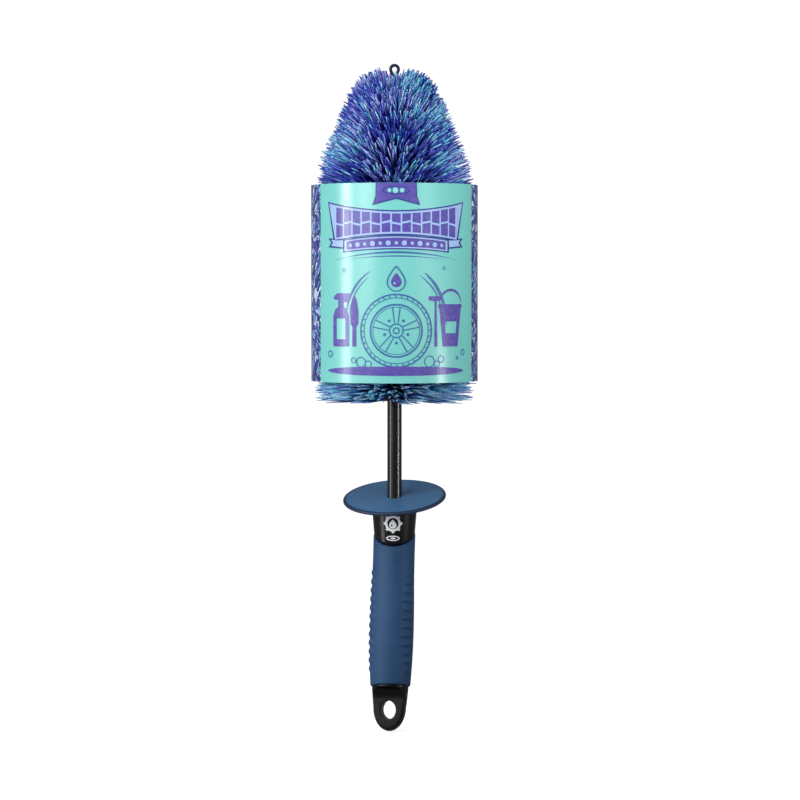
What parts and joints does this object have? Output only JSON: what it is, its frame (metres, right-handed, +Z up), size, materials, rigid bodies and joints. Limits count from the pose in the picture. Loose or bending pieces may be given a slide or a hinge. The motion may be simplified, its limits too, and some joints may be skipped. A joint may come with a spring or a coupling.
{
  "type": "wheel brush",
  "caption": "Long soft-bristle wheel brush: tapered twisted-wire head in a slide-off card sleeve, slim tube shaft, oblique splash guard and leaning ribbed handle with a hang hole.",
  "frame": {"origin": "centre of the hang hole in the tail", "axes": "+Z up, parallel to the shaft, towards the bristle tip; -Y is the handle's front, which leans forward; the object is symmetric about the YZ plane apart from the wire's twist and a small turn of the grip's slanted edges"},
  "size_m": [0.1155, 0.1159, 0.4602],
  "materials": {
    "core_wire": "dark coated wire",
    "bristle": "soft synthetic filament",
    "wire_bush": "moulded",
    "shaft_tube": "gloss",
    "wire_anchor": "moulded",
    "anchor_pin": "drawn",
    "handle_core": "satin",
    "grip": "soft matte",
    "guard": "satin",
    "card": "gloss laminated print",
    "card_lap": "gloss laminated print"
  },
  "bodies": {
    "brush": {"core_wire": "core_wire", "bristle_root": "bristle", "bristle_barrel": "bristle", "bristle_nose": "bristle", "wire_bush": "wire_bush", "shaft_tube": "shaft_tube", "wire_anchor": "wire_anchor", "anchor_pin": "anchor_pin", "handle_core": "handle_core", "grip_sleeve": "grip"},
    "guard": {"splash_guard": "guard"},
    "sleeve": {"card_sleeve": "card", "sleeve_seam": "card_lap"}
  },
  "joints": [
    {"name": "sleeve_slide", "type": "slide", "parent": "brush", "child": "sleeve", "axis": [0, 0, 1], "range_m": [0, 0.235]},
    {"name": "guard_slide", "type": "slide", "parent": "brush", "child": "guard", "axis": [0, 0, 1], "range_m": [0, 0.045]}
  ]
}
